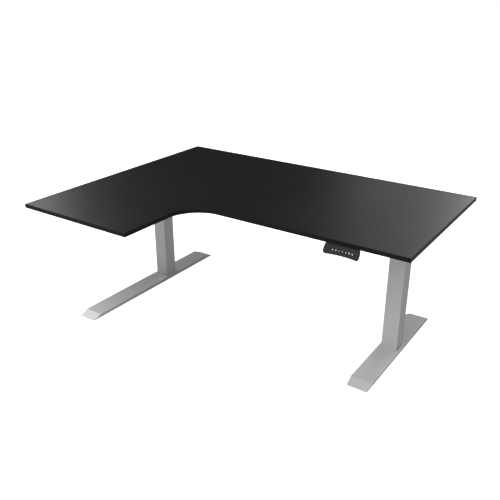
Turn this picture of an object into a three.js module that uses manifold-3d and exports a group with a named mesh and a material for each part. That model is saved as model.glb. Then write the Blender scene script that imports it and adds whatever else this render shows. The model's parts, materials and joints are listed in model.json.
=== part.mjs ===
// An L-shaped sit-stand desk: a corner worktop on two three-stage lifting columns.
// Millimetres, +Z up. The origin is on the floor, under the centre of the worktop's outline.
// The user sits on the -Y side; the wing (the short arm of the L) is on the left and points to -Y.
// The columns are shown fully lowered, which is the rest pose of every joint.
import * as THREE from "three";
import { mergeVertices } from "three/addons/utils/BufferGeometryUtils.js";
import Module from "manifold-3d";

const wasm = await Module();
wasm.setup();

// ---- Driving dimensions ----------------------------------------------------------------------

const desk = { lowHeight: 620, stroke: 650, seat: 0.1, turnedGap: 0.3 };

const worktop = {
  length: 1600,
  depth: 1200,
  mainDepth: 800,
  wingWidth: 600,
  thickness: 18,
  innerRadius: 150,
  band: 2,
  bandGap: 0.05,
};

// Where the columns stand: inset from the worktop's left and right ends, and from its back edge.
const columns = { leftInset: 111.8, rightInset: 161.3, fromBack: 448 };

const foot = {
  width: 97,
  sideLean: 3,
  height: 18.5,
  clearOfFloor: 1.5,
  wall: 2.5,
  endRun: 45.6,
  tipRadius: 10,
  rearReach: 350,
  leftFrontReach: 582,
  rightFrontReach: 359,
};

const glide = {
  padRadius: 16,
  padHeight: 5,
  studRadius: 4,
  bossRadius: 8,
  fit: 0.3,
  fromTip: 78,
  travel: 8,
};

// Square telescopic tubes. Each stage fits in the one outside it with slideGap on every side.
const tube = { outerSize: 72, wall: 1.5, slideGap: 1, corner: 2.2, collarHeight: 6, parkGap: 5 };

const drive = {
  basePlate: 8,
  screwRadius: 6,
  screwFit: 0.3,
  spindleRadius: 13,
  spindleBore: 10.3,
  journalRadius: 10,
  journalFit: 0.3,
  shoulderRadius: 17,
  shoulder: 6,
  nutFit: 0.35,
  hexAcrossFlats: 17,
  hexFit: 0.4,
  bushLength: 20,
  endFloat: 4,
  carrierLift: 34,
  sliderHeight: 12,
  plugHeight: 7,
  sliderFit: 0.2,
};

const gearbox = { size: 96, height: 43, corner: 9, bore: 15, roof: 7 };
const motor = {
  radius: 20.5,
  body: 82,
  neckRadius: 15,
  neck: 8,
  capRadius: 16,
  cap: 5,
  window: 1,
};

const bracket = {
  gap: 1.5,
  wall: 2.5,
  plate: 3,
  depth: 40,
  endDepth: 12,
  taper: 130,
  rearReach: 290,
  leftFrontReach: 600,
  rightFrontReach: 290,
};

const rail = { width: 30, height: 38, wall: 2, cableGap: 8, fromColumn: 47 };
const wingRail = { size: 30, wall: 2, fromWingEdge: 110, fromWingFront: 120 };

const box = { length: 240, width: 100, height: 36, corner: 8, fromRail: 18, fromRight: 380 };
const ear = { width: 14, reach: 13, thickness: 3 };
const socket = { width: 16, height: 11, depth: 9, nearOffset: -16, farOffset: 16 };
const inlet = { width: 30, height: 22, flange: 3, pocketWidth: 22, pocketHeight: 14, pocket: 2 };

const cable = { motorRadius: 2.5, handsetRadius: 2, hang: 1.7, leadFromBox: 22 };
const clip = { length: 12, width: 16, fit: 0.3, floor: 1.7 };

const handset = {
  fromRight: 268,
  width: 146,
  topWidth: 138,
  bottomWidth: 128,
  height: 41,
  bow: 3.5,
  slopeDegrees: 60,
  rim: 2.4,
  panel: 3,
  panelFit: 0.25,
  cavity: 6.5,
  cavitySideMargin: 3,
  cavityEndMargin: 6,
  wall: 2.6,
  rearReach: 60,
  rearHeight: 12,
  neckInset: 6,
  neckRearWidth: 52,
  board: 1.6,
};

const key = { width: 11.2, height: 13, pitch: 13.7, shift: 6.6, fit: 0.25, lip: 0.7, lipThickness: 1.6 };
const keyNames = ["up", "down", "one", "two", "three", "memory", "lock"];

// ---- Levels and sizes worked out from them ------------------------------------------------------

const underside = desk.lowHeight - worktop.thickness;
const backY = worktop.depth / 2;
const mainFrontY = backY - worktop.mainDepth;
const leftX = -worktop.length / 2;
const rightX = worktop.length / 2;
const columnY = backY - columns.fromBack;
const leftColumnX = leftX + columns.leftInset;
const rightColumnX = rightX - columns.rightInset;

const footTop = foot.clearOfFloor + foot.height;
const gearboxTop = underside - bracket.plate - 2 * desk.seat;
const gearboxBottom = gearboxTop - gearbox.height;
const middleCollarTop = gearboxBottom - tube.parkGap;
const outerCollarTop = middleCollarTop - tube.collarHeight - tube.parkGap;

const innerOf = (size) => size - 2 * tube.wall;
const stageInside = (size) => innerOf(size) - 2 * tube.slideGap;
const middleSize = stageInside(tube.outerSize);
const innerSize = stageInside(middleSize);

const basePlateTop = footTop + desk.seat + drive.basePlate;
const carrierBottom = footTop + drive.carrierLift;
const carrierTop = carrierBottom + drive.sliderHeight;
const spindleShoulder = carrierTop + drive.plugHeight + desk.turnedGap;
const spindleStep = spindleShoulder + drive.shoulder;
const nutBottom = spindleStep + drive.endFloat;
const nutTop = nutBottom + drive.sliderHeight;
const stageTravel = desk.stroke / 2;
const spindleTop = nutTop + stageTravel + drive.bushLength;
const screwTop = spindleStep + stageTravel + drive.sliderHeight;
const driveBottom = spindleStep + drive.endFloat;
const driveTop = gearboxTop - gearbox.roof - desk.turnedGap;

const bracketWidth = gearbox.size + 2 * (bracket.gap + bracket.wall);
const railTop = underside - rail.cableGap;
const rearRailBack = columnY + rail.fromColumn + rail.width / 2;
const frontRailFront = columnY - rail.fromColumn - rail.width / 2;

// ---- Materials --------------------------------------------------------------------------------

const finish = (color, roughness, metalness) =>
  new THREE.MeshStandardMaterial({ color, roughness, metalness });

const laminate = finish(0x1d1d1e, 0.45, 0);
const bandPlastic = finish(0x18181a, 0.5, 0);
const silverCoat = finish(0xa9abac, 0.45, 0.35);
const blackCoat = finish(0x222325, 0.55, 0.2);
const blackPlastic = finish(0x1b1c1e, 0.55, 0);
const panelPlastic = finish(0x303133, 0.4, 0);
const greyNylon = finish(0x4a4c4e, 0.6, 0);
const steel = finish(0x8f9294, 0.35, 0.9);
const castAlloy = finish(0x9b9d9f, 0.5, 0.8);
const rubber = finish(0x141414, 0.85, 0);
const circuitGreen = finish(0x1f4a34, 0.5, 0);

// ---- Geometry helpers ---------------------------------------------------------------------------

const named = (name, geometry, material) => {
  const mesh = new THREE.Mesh(geometry, material);
  mesh.name = name;
  return mesh;
};

const at = (object, x, y, z) => {
  object.position.set(x, y, z);
  return object;
};

// Turns a closed geometry into a manifold solid.
function solid(geometry) {
  const bare = new THREE.BufferGeometry();
  const plain = geometry.index ? geometry.toNonIndexed() : geometry;
  bare.setAttribute("position", plain.getAttribute("position"));
  const merged = mergeVertices(bare, 1e-4);
  const vertProperties = new Float32Array(merged.attributes.position.array);
  const triVerts = new Uint32Array(merged.index.array);
  return new wasm.Manifold(new wasm.Mesh({ numProp: 3, vertProperties, triVerts }));
}

// Turns a manifold solid back into a geometry.
function geometryOf(body) {
  const mesh = body.getMesh();
  const geometry = new THREE.BufferGeometry();
  const positions = new Float32Array(mesh.vertProperties);
  geometry.setAttribute("position", new THREE.BufferAttribute(positions, 3));
  geometry.setIndex(Array.from(mesh.triVerts));
  geometry.computeVertexNormals();
  return geometry;
}

const cut = (first, ...others) =>
  geometryOf(others.reduce((body, other) => body.subtract(solid(other)), solid(first)));

const join = (first, ...others) =>
  geometryOf(others.reduce((body, other) => body.add(solid(other)), solid(first)));

const common = (first, second) => geometryOf(solid(first).intersect(solid(second)));

// A box given by its centre in X and Y and its lowest and highest Z.
function block(width, depth, low, high, x = 0, y = 0) {
  return new THREE.BoxGeometry(width, depth, high - low).translate(x, y, (low + high) / 2);
}

// An upright cylinder between two heights.
function post(radius, low, high, x = 0, y = 0, sides = 24) {
  return new THREE.CylinderGeometry(radius, radius, high - low, sides)
    .rotateX(Math.PI / 2)
    .translate(x, y, (low + high) / 2);
}

// Extrudes a shape upwards between two heights.
function prism(shape, low, high, curveSegments = 2) {
  const settings = { depth: high - low, bevelEnabled: false, curveSegments };
  return new THREE.ExtrudeGeometry(shape, settings).translate(0, 0, low);
}

// Extrudes a side view, drawn as (Y, Z) points, across a width in X centred on zero.
function sideProfile(points, width) {
  const shape = new THREE.Shape(points.map(([y, z]) => new THREE.Vector2(y, z)));
  const settings = { depth: width, bevelEnabled: false };
  const drawn = new THREE.ExtrudeGeometry(shape, settings).translate(0, 0, -width / 2);
  // The drawing plane's X and Y become Y and Z, and the extrusion becomes X.
  const turn = new THREE.Matrix4().makeBasis(
    new THREE.Vector3(0, 1, 0),
    new THREE.Vector3(0, 0, 1),
    new THREE.Vector3(1, 0, 0),
  );
  return drawn.applyMatrix4(turn);
}

function roundedRectangle(width, depth, radius, path = new THREE.Shape()) {
  const x = width / 2 - radius;
  const y = depth / 2 - radius;
  path.moveTo(x, -y - radius);
  path.absarc(x, -y, radius, -Math.PI / 2, 0, false);
  path.absarc(x, y, radius, 0, Math.PI / 2, false);
  path.absarc(-x, y, radius, Math.PI / 2, Math.PI, false);
  path.absarc(-x, -y, radius, Math.PI, Math.PI * 1.5, false);
  path.closePath();
  return path;
}

// A rounded square ring between two heights.
function squareRing(size, opening, low, high) {
  const shape = roundedRectangle(size, size, tube.corner);
  const inner = Math.max(tube.corner - (size - opening) / 2, 0.5);
  shape.holes.push(roundedRectangle(opening, opening, inner, new THREE.Path()));
  return prism(shape, low, high);
}

// ---- Worktop ------------------------------------------------------------------------------------

// The L outline, drawn inwards by an inset on every side.
function worktopOutline(inset, path = new THREE.Shape()) {
  const wingRight = leftX + worktop.wingWidth;
  const arcX = wingRight + worktop.innerRadius;
  const arcY = mainFrontY - worktop.innerRadius;
  path.moveTo(leftX + inset, -backY + inset);
  path.lineTo(wingRight - inset, -backY + inset);
  path.lineTo(wingRight - inset, arcY);
  path.absarc(arcX, arcY, worktop.innerRadius + inset, Math.PI, Math.PI / 2, true);
  path.lineTo(rightX - inset, mainFrontY + inset);
  path.lineTo(rightX - inset, backY - inset);
  path.lineTo(leftX + inset, backY - inset);
  path.closePath();
  return path;
}

function worktopPieces() {
  const arcSteps = 20;
  const board = prism(
    worktopOutline(worktop.band + worktop.bandGap),
    underside,
    desk.lowHeight,
    arcSteps,
  );
  const strip = worktopOutline(0);
  strip.holes.push(worktopOutline(worktop.band, new THREE.Path()));
  const band = prism(strip, underside, desk.lowHeight, arcSteps);
  return [named("desktop", board, laminate), named("edge_band", band, bandPlastic)];
}

// ---- Feet and levelling glides ------------------------------------------------------------------

// A long bar along Y whose sides lean in towards the floor, as the foot's folded sides do.
function leaningPrism(topWidth, low, high, length) {
  const lean = (foot.sideLean * (high - low)) / foot.height;
  const top = topWidth / 2;
  const section = new THREE.Shape();
  section.moveTo(-top, high);
  section.lineTo(top, high);
  section.lineTo(top - lean, low);
  section.lineTo(-top + lean, low);
  section.closePath();
  const bar = new THREE.ExtrudeGeometry(section, { depth: length, bevelEnabled: false });
  return bar.translate(0, 0, -length / 2).rotateX(Math.PI / 2);
}

// A folded steel foot, open underneath, with sloped ends; drawn about the column's centre.
function footPiece(name, frontReach, glideYs) {
  const low = foot.clearOfFloor;
  const profile = (front, rear, run, top) => [
    [-front, low],
    [rear, low],
    [rear - run, top],
    [-front + run, top],
  ];
  const long = sideProfile(profile(frontReach, foot.rearReach, foot.endRun, footTop), foot.width);
  const length = frontReach + foot.rearReach;
  const outside = common(long, leaningPrism(foot.width, low, footTop, length * 2));
  const plan = prism(
    roundedRectangle(foot.width, length, foot.tipRadius),
    low,
    footTop,
    4,
  ).translate(0, (foot.rearReach - frontReach) / 2, 0);
  // The hollow follows the outside at one wall's distance, measured square to the sloped ends.
  const slopeInset = (foot.wall * Math.hypot(foot.endRun, foot.height)) / foot.height;
  const hollowTop = footTop - foot.wall;
  const below = 1;
  const slope = foot.endRun / foot.height;
  const hollowLong = sideProfile(
    [
      [-frontReach + slopeInset - below * slope, low - below],
      [foot.rearReach - slopeInset + below * slope, low - below],
      [foot.rearReach - slopeInset - (hollowTop - low) * slope, hollowTop],
      [-frontReach + slopeInset + (hollowTop - low) * slope, hollowTop],
    ],
    foot.width,
  );
  const hollowWidth = foot.width - 2 * foot.wall;
  const hollow = common(hollowLong, leaningPrism(hollowWidth, low - below, footTop, length * 2));
  const bossBottom = glide.padHeight + 1;
  const bosses = glideYs.map((y) => post(glide.bossRadius, bossBottom, hollowTop + 0.5, 0, y, 16));
  const holes = glideYs.map((y) =>
    post(glide.studRadius + glide.fit, bossBottom - 1, hollowTop - 0.2, 0, y, 16),
  );
  const shell = cut(common(outside, plan), hollow);
  return named(name, cut(join(shell, ...bosses), ...holes), silverCoat);
}

function glidePiece(name, y) {
  const studTop = footTop - foot.wall - glide.fit;
  const radius = glide.padRadius;
  const profile = [
    [0, 0],
    [radius - 1, 0],
    [radius, 1],
    [radius, glide.padHeight - 1],
    [radius - 2, glide.padHeight],
    [glide.studRadius, glide.padHeight],
    [glide.studRadius, studTop],
    [0, studTop],
  ].map(([r, z]) => new THREE.Vector2(r, z));
  const turned = new THREE.LatheGeometry(profile, 24).rotateX(Math.PI / 2);
  return at(named(name, turned, rubber), 0, y, 0);
}

// ---- Lifting columns ----------------------------------------------------------------------------

// A plastic piece that closes a tube's lower end: a slider flange and a plug that fits in the tube.
function tubeEnd(outsideOpening, tubeSize, bottom, bore) {
  const flangeSize = outsideOpening - 2 * drive.sliderFit;
  const plugSize = innerOf(tubeSize) - 2 * drive.sliderFit;
  const top = bottom + drive.sliderHeight;
  const plugRadius = tube.corner - tube.wall;
  const flange = prism(roundedRectangle(flangeSize, flangeSize, tube.corner - tube.wall), bottom, top);
  const plug = prism(roundedRectangle(plugSize, plugSize, plugRadius), top - 1, top + drive.plugHeight);
  return cut(join(flange, plug), post(bore, bottom - 1, top + drive.plugHeight + 1));
}

// The rotating sleeve: an outer thread for the lift nut, an inner thread for the base screw, and a
// hexagonal bush at the top that slides on the drive tube.
function spindleGeometry() {
  const nutBore = drive.screwRadius + drive.screwFit;
  const profile = [
    [nutBore, carrierBottom - drive.endFloat],
    [drive.journalRadius, carrierBottom - drive.endFloat],
    [drive.journalRadius, spindleShoulder],
    [drive.shoulderRadius, spindleShoulder],
    [drive.shoulderRadius, spindleStep - 1],
    [drive.spindleRadius, spindleStep],
    [drive.spindleRadius, spindleTop],
    [drive.spindleBore, spindleTop],
    [drive.spindleBore, spindleStep],
    [nutBore, spindleStep],
    [nutBore, carrierBottom - drive.endFloat],
  ].map(([r, z]) => new THREE.Vector2(r, z));
  const sleeve = new THREE.LatheGeometry(profile, 24).rotateX(Math.PI / 2);
  const bushBottom = spindleTop - drive.bushLength;
  const overlap = 0.5;
  const ring = post(drive.spindleBore + overlap, bushBottom, spindleTop);
  const bush = cut(ring, hexPrism(drive.hexAcrossFlats + drive.hexFit, bushBottom - 1, spindleTop + 1));
  return join(sleeve, bush);
}

function hexPrism(acrossFlats, low, high) {
  return post(acrossFlats / Math.sqrt(3), low, high, 0, 0, 6);
}

function driveTubeGeometry() {
  const bar = hexPrism(drive.hexAcrossFlats, driveBottom, driveTop);
  const bore = drive.screwRadius + 2 * drive.screwFit;
  return cut(bar, post(bore, driveBottom - 1, screwTop + 2 * drive.endFloat));
}

function baseScrewGeometry() {
  const flange = 4;
  const bottom = basePlateTop + desk.seat;
  const profile = [
    [0, bottom],
    [drive.shoulderRadius, bottom],
    [drive.shoulderRadius, bottom + flange],
    [drive.screwRadius, bottom + flange],
    [drive.screwRadius, screwTop - 1.5],
    [drive.screwRadius - 1.5, screwTop],
    [0, screwTop],
  ].map(([r, z]) => new THREE.Vector2(r, z));
  return new THREE.LatheGeometry(profile, 20).rotateX(Math.PI / 2);
}

// The motor lies beside the gearbox and points along +X or -X.
function motorPiece(name, direction) {
  const start = gearbox.size / 2 + desk.seat;
  const chamfer = 2;
  const profile = [
    [0, 0],
    [motor.neckRadius, 0],
    [motor.neckRadius, motor.neck],
    [motor.radius - chamfer, motor.neck],
    [motor.radius, motor.neck + chamfer],
    [motor.radius, motor.neck + motor.body - chamfer],
    [motor.radius - chamfer, motor.neck + motor.body],
    [motor.capRadius, motor.neck + motor.body],
    [motor.capRadius, motor.neck + motor.body + motor.cap],
    [0, motor.neck + motor.body + motor.cap],
  ].map(([r, y]) => new THREE.Vector2(r, y));
  const turned = new THREE.LatheGeometry(profile, 28).rotateZ(-direction * (Math.PI / 2));
  const mesh = named(name, turned, blackCoat);
  return at(mesh, direction * start, 0, (gearboxTop + gearboxBottom) / 2);
}

function gearboxGeometry() {
  const body = prism(
    roundedRectangle(gearbox.size, gearbox.size, gearbox.corner),
    gearboxBottom,
    gearboxTop,
  );
  return cut(body, post(gearbox.bore, gearboxBottom - 1, gearboxTop - gearbox.roof));
}

// One column with its foot, from the floor up to the gearbox, about its own vertical axis.
function column(side, x, frontReach, motorDirection) {
  const group = at(new THREE.Group(), x, columnY, 0);
  const glideYs = [-frontReach + glide.fromTip, foot.rearReach - glide.fromTip];
  const plateSize = innerOf(tube.outerSize) - 2 * drive.sliderFit;
  const plateShape = roundedRectangle(plateSize, plateSize, tube.corner - tube.wall);
  const outerTop = outerCollarTop - tube.collarHeight - desk.seat;
  const middleTop = middleCollarTop - tube.collarHeight - desk.seat;
  const stage = (size, low, high) => squareRing(size, innerOf(size), low, high);
  const collar = (size, nextSize, top) =>
    squareRing(size, nextSize + 2 * drive.sliderFit, top - tube.collarHeight, top);
  group.add(
    footPiece(`${side}_foot`, frontReach, glideYs),
    glidePiece(`${side}_front_glide`, glideYs[0]),
    glidePiece(`${side}_rear_glide`, glideYs[1]),
    named(`${side}_base_plate`, prism(plateShape, footTop + desk.seat, basePlateTop), steel),
    named(`${side}_base_screw`, baseScrewGeometry(), steel),
    named(`${side}_outer_tube`, stage(tube.outerSize, footTop + desk.seat, outerTop), silverCoat),
    named(`${side}_outer_collar`, collar(tube.outerSize, middleSize, outerCollarTop), greyNylon),
    named(
      `${side}_middle_carrier`,
      tubeEnd(
        innerOf(tube.outerSize),
        middleSize,
        carrierBottom,
        drive.journalRadius + drive.journalFit,
      ),
      greyNylon,
    ),
    named(`${side}_middle_tube`, stage(middleSize, carrierTop + desk.seat, middleTop), silverCoat),
    named(`${side}_middle_collar`, collar(middleSize, innerSize, middleCollarTop), greyNylon),
    named(`${side}_spindle`, spindleGeometry(), steel),
    named(
      `${side}_lift_nut`,
      tubeEnd(innerOf(middleSize), innerSize, nutBottom, drive.spindleRadius + drive.nutFit),
      greyNylon,
    ),
    named(
      `${side}_inner_tube`,
      stage(innerSize, nutTop + desk.seat, gearboxBottom - desk.seat),
      silverCoat,
    ),
    named(`${side}_drive_tube`, driveTubeGeometry(), steel),
    named(`${side}_gearbox`, gearboxGeometry(), castAlloy),
    motorPiece(`${side}_motor`, motorDirection),
  );
  return group;
}

// ---- Under-frame --------------------------------------------------------------------------------

// A folded channel over the gearbox that carries the board, deep at the column and tapered at its ends.
function bracketPiece(name, x, frontReach) {
  const top = underside - desk.seat;
  const deep = gearbox.size / 2 + bracket.taper / 4;
  const points = [
    [-frontReach, top],
    [-frontReach, top - bracket.endDepth],
    [-frontReach + bracket.taper, top - bracket.depth],
    [-deep, top - bracket.depth],
    [deep, top - bracket.depth],
    [bracket.rearReach - bracket.taper, top - bracket.depth],
    [bracket.rearReach, top - bracket.endDepth],
    [bracket.rearReach, top],
  ];
  const length = frontReach + bracket.rearReach + 2;
  const inside = block(
    bracketWidth - 2 * bracket.wall,
    length,
    top - bracket.depth - 1,
    top - bracket.plate,
    0,
    (bracket.rearReach - frontReach) / 2,
  );
  // The motor passes out through a window in the flange.
  const windowTop = (gearboxTop + gearboxBottom) / 2 + motor.radius + motor.window;
  const windowWidth = 2 * (motor.radius + motor.window);
  const window = block(bracketWidth + 2, windowWidth, top - bracket.depth - 1, windowTop);
  const channel = cut(sideProfile(points, bracketWidth), inside, window);
  return at(named(name, channel, blackCoat), x, columnY, 0);
}

// An open-ended rectangular steel tube along X.
function crossRail(name, y) {
  const start = leftColumnX + bracketWidth / 2 + desk.seat;
  const end = rightColumnX - bracketWidth / 2 - desk.seat;
  const middle = (start + end) / 2;
  const low = railTop - rail.height;
  const outer = block(end - start, rail.width, low, railTop, middle, y);
  const hollowWidth = rail.width - 2 * rail.wall;
  const hollow = block(end - start + 2, hollowWidth, low + rail.wall, railTop - rail.wall, middle, y);
  return named(name, cut(outer, hollow), blackCoat);
}

// The rail that carries the wing, from the front cross rail towards the wing's front.
function wingRailPiece() {
  const x = leftX + worktop.wingWidth - wingRail.fromWingEdge;
  const start = -backY + wingRail.fromWingFront;
  const end = frontRailFront - desk.seat;
  const top = underside - desk.seat;
  const middle = (start + end) / 2;
  const outer = block(wingRail.size, end - start, top - wingRail.size, top, x, middle);
  const inner = wingRail.size - 2 * wingRail.wall;
  const hollow = block(
    inner,
    end - start + 2,
    top - wingRail.size + wingRail.wall,
    top - wingRail.wall,
    x,
    middle,
  );
  return named("wing_rail", cut(outer, hollow), blackCoat);
}

// ---- Control box, cables and clips --------------------------------------------------------------

const boxCentre = {
  x: rightX - box.fromRight - box.length / 2,
  y: rearRailBack + box.fromRail + box.width / 2,
};
const boxTop = underside - desk.seat;
const boxMiddleZ = boxTop - box.height / 2;
const boxLeft = boxCentre.x - box.length / 2;
const boxRight = boxCentre.x + box.length / 2;

function controlBoxPieces() {
  const { x, y } = boxCentre;
  const housing = prism(
    roundedRectangle(box.length, box.width, box.corner),
    boxTop - box.height,
    boxTop,
  ).translate(x, y, 0);
  const ears = [-1, 1].map((end) =>
    block(
      ear.reach * 2,
      ear.width,
      boxTop - ear.thickness,
      boxTop,
      x + (end * box.length) / 2,
      y + box.width / 2 - ear.width,
    ),
  );
  const pocket = (end, offset) =>
    block(
      2 * socket.depth,
      socket.width,
      boxMiddleZ - socket.height / 2,
      boxMiddleZ + socket.height / 2,
      x + (end * box.length) / 2,
      y + offset,
    );
  const pockets = [
    pocket(-1, socket.nearOffset),
    pocket(1, socket.nearOffset),
    pocket(1, socket.farOffset),
  ];
  const body = cut(join(housing, ...ears), ...pockets);
  const face = y + box.width / 2 + desk.seat;
  const half = inlet.height / 2;
  const flange = block(inlet.width, inlet.flange, boxMiddleZ - half, boxMiddleZ + half);
  const recess = block(
    inlet.pocketWidth,
    inlet.flange,
    boxMiddleZ - inlet.pocketHeight / 2,
    boxMiddleZ + inlet.pocketHeight / 2,
    0,
    inlet.flange - inlet.pocket,
  );
  const inletMesh = named("mains_inlet", cut(flange, recess), blackPlastic);
  return [
    named("control_box", body, blackPlastic),
    at(inletMesh, x, face + inlet.flange / 2, 0),
  ];
}

// A round cable along a smooth curve through hand-placed points.
function cablePiece(name, radius, points, steps) {
  const route = new THREE.CatmullRomCurve3(points.map((p) => new THREE.Vector3(...p)));
  const section = new THREE.Shape();
  section.absarc(0, 0, radius, 0, Math.PI * 2, false);
  const settings = { extrudePath: route, steps, bevelEnabled: false, curveSegments: 4 };
  return named(name, new THREE.ExtrudeGeometry(section, settings), rubber);
}

const motorReach =
  gearbox.size / 2 + 2 * desk.seat + motor.neck + motor.body + motor.cap + desk.turnedGap;
const motorZ = (gearboxTop + gearboxBottom) / 2;
const clippedZ = underside - cable.motorRadius - cable.hang;
const nearSocketY = boxCentre.y + socket.nearOffset;
const farSocketY = boxCentre.y + socket.farOffset;
const handsetX = rightX - handset.fromRight;
const handsetRearY = mainFrontY + handset.rearReach;
const leadX = boxRight + cable.leadFromBox;

function cablePieces() {
  const leftEnd = leftColumnX + motorReach;
  const rightEnd = rightColumnX - motorReach;
  const left = [
    [leftEnd, columnY, motorZ],
    [leftEnd + 18, columnY, motorZ],
    [leftEnd + 36, columnY + 4, motorZ + 11],
    [leftEnd + 52, columnY + 14, clippedZ],
    [leftEnd + 64, columnY + 34, clippedZ],
    [leftEnd + 78, rearRailBack + 14, clippedZ],
    [leftEnd + 110, nearSocketY, clippedZ],
    [leftEnd + 260, nearSocketY, clippedZ],
    [boxLeft - 180, nearSocketY, clippedZ],
    [boxLeft - 60, nearSocketY, clippedZ],
    [boxLeft - 34, nearSocketY, clippedZ - 6],
    [boxLeft - 14, nearSocketY, boxMiddleZ + 1],
    [boxLeft + socket.depth - desk.turnedGap, nearSocketY, boxMiddleZ],
  ];
  const right = [
    [rightEnd, columnY, motorZ],
    [rightEnd - 14, columnY, motorZ],
    [rightEnd - 26, columnY + 5, motorZ + 11],
    [rightEnd - 32, columnY + 18, clippedZ],
    [rightEnd - 34, columnY + 42, clippedZ],
    [rightEnd - 34, rearRailBack + 10, clippedZ],
    [rightEnd - 34, farSocketY - 30, clippedZ],
    [rightEnd - 42, farSocketY - 6, clippedZ - 4],
    [boxRight + 16, farSocketY, boxMiddleZ + 4],
    [boxRight + 4, farSocketY, boxMiddleZ],
    [boxRight - socket.depth + desk.turnedGap, farSocketY, boxMiddleZ],
  ];
  const handsetZ = underside - cable.handsetRadius - cable.hang;
  const lead = [
    [handsetX, handsetRearY + desk.turnedGap, underside - 6],
    [handsetX, handsetRearY + 18, underside - 5],
    [handsetX - 2, handsetRearY + 44, handsetZ],
    [handsetX - 20, handsetRearY + 84, handsetZ],
    [leadX + 14, handsetRearY + 122, handsetZ],
    [leadX, frontRailFront - 76, handsetZ],
    [leadX, frontRailFront - 50, handsetZ],
    [leadX, frontRailFront - 12, handsetZ],
    [leadX, columnY, handsetZ],
    [leadX, rearRailBack + 8, handsetZ],
    [leadX, nearSocketY - 22, handsetZ - 3],
    [leadX - 6, nearSocketY - 4, boxMiddleZ + 4],
    [boxRight + 5, nearSocketY, boxMiddleZ],
    [boxRight - socket.depth + desk.turnedGap, nearSocketY, boxMiddleZ],
  ];
  return [
    cablePiece("left_motor_cable", cable.motorRadius, left, 60),
    cablePiece("right_motor_cable", cable.motorRadius, right, 36),
    cablePiece("handset_cable", cable.handsetRadius, lead, 56),
  ];
}

// A saddle clip screwed under the board; its groove runs along the cable.
function clipPiece(name, radius, x, y, alongY) {
  const top = underside - desk.seat;
  const low = underside - 2 * radius - cable.hang - clip.floor;
  const saddle = block(clip.length, clip.width, low, top);
  const groove = new THREE.CylinderGeometry(
    radius + clip.fit,
    radius + clip.fit,
    clip.length + 2,
    16,
  )
    .rotateZ(Math.PI / 2)
    .translate(0, 0, underside - radius - cable.hang);
  const slotWidth = 2 * (radius + clip.fit);
  const mouth = block(clip.length + 2, slotWidth, underside - radius - cable.hang, underside);
  const mesh = named(name, cut(saddle, groove, mouth), blackPlastic);
  mesh.rotation.z = alongY ? Math.PI / 2 : 0;
  return at(mesh, x, y, 0);
}

function clipPieces() {
  const nearMotor = leftColumnX + motorReach + 320;
  return [
    clipPiece("cable_clip_1", cable.motorRadius, nearMotor, nearSocketY, false),
    clipPiece("cable_clip_2", cable.motorRadius, boxLeft - 220, nearSocketY, false),
    clipPiece("cable_clip_3", cable.handsetRadius, leadX, frontRailFront - 32, true),
    clipPiece("cable_clip_4", cable.handsetRadius, leadX, columnY - 22, true),
  ];
}

// ---- Handset ------------------------------------------------------------------------------------

// The face outline, in the face's own plane: X across, Y up the slope, the top edge at Y = 0. The sides
// bulge from the top width to the full width and draw in again to the bottom width. The lower edge
// bows up in the middle.
function faceOutline(inset, path = new THREE.Shape()) {
  const top = handset.topWidth / 2 - inset;
  const wide = handset.width / 2 - inset;
  const bottom = handset.bottomWidth / 2 - inset;
  const low = -handset.height + inset;
  const bend = -handset.height * 0.6;
  path.moveTo(-top, -inset);
  path.quadraticCurveTo(-wide, -handset.height * 0.15, -wide, bend);
  path.quadraticCurveTo(-wide, low, -bottom, low);
  path.quadraticCurveTo(0, low + 2 * handset.bow, bottom, low);
  path.quadraticCurveTo(wide, low, wide, bend);
  path.quadraticCurveTo(wide, -handset.height * 0.15, top, -inset);
  path.closePath();
  return path;
}

const slope = THREE.MathUtils.degToRad(handset.slopeDegrees);
const keyX = (index) => key.shift + (index - (keyNames.length - 1) / 2) * key.pitch;
const keyY = -handset.height / 2;

// The turned group that everything on the sloping face sits in: local Z points out of the face.
function faceGroup() {
  const group = at(new THREE.Group(), handsetX, mainFrontY, underside - desk.turnedGap);
  group.rotation.x = slope;
  return group;
}

function facePanel() {
  const shape = faceOutline(handset.rim);
  const openings = keyNames.map((_, index) =>
    prism(
      roundedRectangle(key.width + 2 * key.fit, key.height + 2 * key.fit, 2),
      -handset.panel - 1,
      1,
      1,
    ).translate(keyX(index), keyY, 0),
  );
  const plate = cut(prism(shape, -handset.panel, 0, 8), ...openings);
  return named("handset_panel", plate, panelPlastic);
}

function keyPiece(index) {
  const cap = prism(roundedRectangle(key.width, key.height, 1.8), -handset.panel - 1, 0, 1);
  const lipTop = -handset.panel - desk.turnedGap;
  const lip = prism(
    roundedRectangle(key.width + 2 * key.lip, key.height + 2 * key.lip, 1.8),
    lipTop - key.lipThickness,
    lipTop,
    1,
  );
  const mesh = named(`key_${keyNames[index]}`, join(cap, lip), panelPlastic);
  return at(mesh, keyX(index), keyY, 0);
}

const pocketDepth = handset.panel + desk.turnedGap;

// The cavity behind the face, in the face's plane.
function cavitySize() {
  return {
    width: handset.bottomWidth - 2 * handset.cavitySideMargin,
    height: handset.height - 2 * handset.cavityEndMargin,
  };
}

function circuitBoard() {
  const { width, height } = cavitySize();
  const floor = -handset.panel - handset.cavity;
  const board = block(width - 1, height - 1, floor + desk.seat, floor + handset.board, 0, keyY);
  return named("handset_circuit_board", board, circuitGreen);
}

// A place in the side view, given down the face's slope and square into it.
function faceToSide(distance, depth) {
  return [
    -Math.cos(slope) * distance + Math.sin(slope) * depth,
    -Math.sin(slope) * distance - Math.cos(slope) * depth - desk.turnedGap,
  ];
}

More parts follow.
